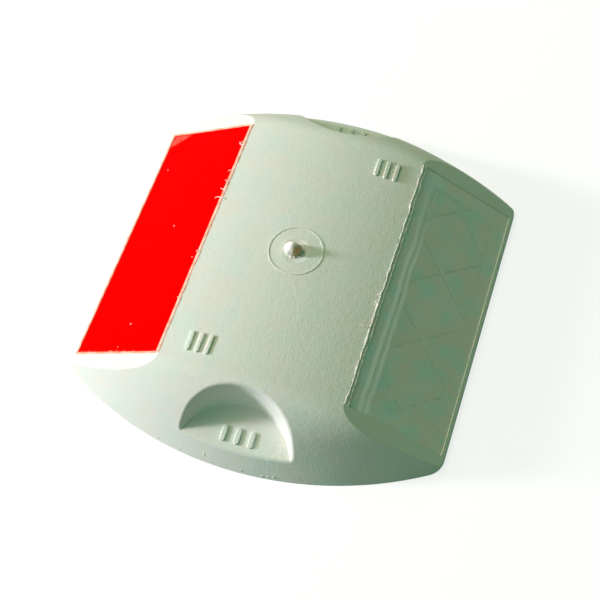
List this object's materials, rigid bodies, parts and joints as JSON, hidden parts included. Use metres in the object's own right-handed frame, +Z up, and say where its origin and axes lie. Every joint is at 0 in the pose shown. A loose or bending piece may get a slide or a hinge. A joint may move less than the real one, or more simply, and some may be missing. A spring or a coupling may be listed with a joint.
{
  "type": "reflective road stud",
  "caption": "Low road marker with rounded ends, finger grips, sloping red and clear reflective lenses on opposite sides, and a honeycomb base that is glued to the road.",
  "frame": {"origin": "middle of the base, on the road surface", "axes": "+X along the traffic towards the clear lens, +Y along the lenses, +Z up from the road"},
  "size_m": [0.091, 0.1, 0.019],
  "materials": {
    "body_plastic": "fine moulded grain",
    "red_lens": "polished, clear red",
    "clear_lens": "polished, clear",
    "red_prism": "fine prisms",
    "clear_prism": "fine prisms"
  },
  "bodies": {
    "root": {"body_shell": "body_plastic", "red_lens": "red_lens", "clear_lens": "clear_lens", "red_prism_sheet": "red_prism", "clear_prism_sheet": "clear_prism"}
  },
  "joints": []
}
